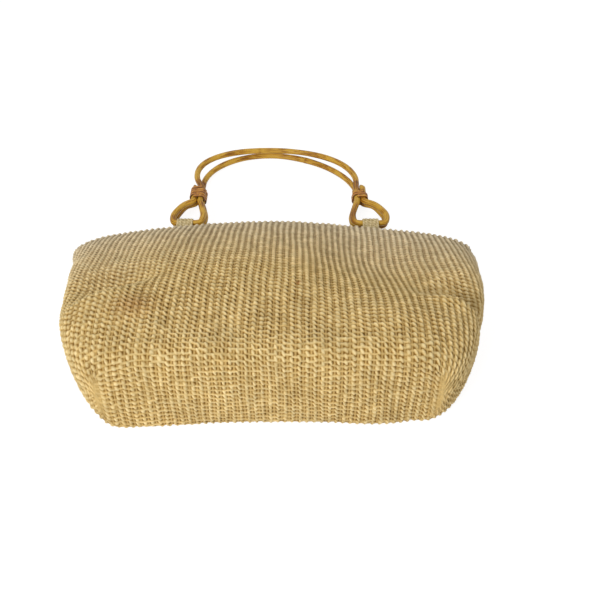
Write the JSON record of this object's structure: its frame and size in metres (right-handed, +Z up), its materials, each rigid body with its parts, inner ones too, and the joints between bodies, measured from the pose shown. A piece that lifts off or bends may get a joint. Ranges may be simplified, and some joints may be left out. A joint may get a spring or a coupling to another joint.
{
  "type": "handbag",
  "caption": "Woven jute half moon handbag with a boxed base, a wide snap-closed mouth and bent cane handles that turn in cloth tabs.",
  "frame": {"origin": "under the middle of the whole part, on the surface that the bag lies on", "axes": "+X across the mouth, +Y from the base to the mouth and the handles, +Z up out of the front panel"},
  "size_m": [0.4316, 0.4446, 0.093],
  "materials": {
    "jute": "matte coarse plain weave",
    "tab_jute": "matte plain weave",
    "cotton": "matte",
    "board": "matte pressed board",
    "cane": "varnished, satin",
    "leather": "satin",
    "brass": "satin"
  },
  "bodies": {
    "bag": {"front_panel": "jute", "back_panel": "jute", "base_panel": "jute", "front_facing": "jute", "back_facing": "jute", "left_seam_tape": "cotton", "right_seam_tape": "cotton", "lining": "cotton", "base_board": "board", "front_left_tab": "tab_jute", "front_right_tab": "tab_jute", "back_left_tab": "tab_jute", "back_right_tab": "tab_jute", "snap_stud": "brass", "snap_socket": "brass"},
    "front_grip": {"front_handle": "cane", "front_left_lacing": "leather", "front_right_lacing": "leather"},
    "back_grip": {"back_handle": "cane", "back_left_lacing": "leather", "back_right_lacing": "leather"}
  },
  "joints": [
    {"name": "front_handle_swing", "type": "hinge", "parent": "bag", "child": "front_grip", "pos_m": [0.00378, 0.05141, 0.01827], "axis": [1, 0, 0], "range_deg": [0, 135]},
    {"name": "back_handle_swing", "type": "hinge", "parent": "bag", "child": "back_grip", "pos_m": [0.00378, 0.06176, 0.0066], "axis": [1, 0, 0], "range_deg": [-135, 0]}
  ]
}
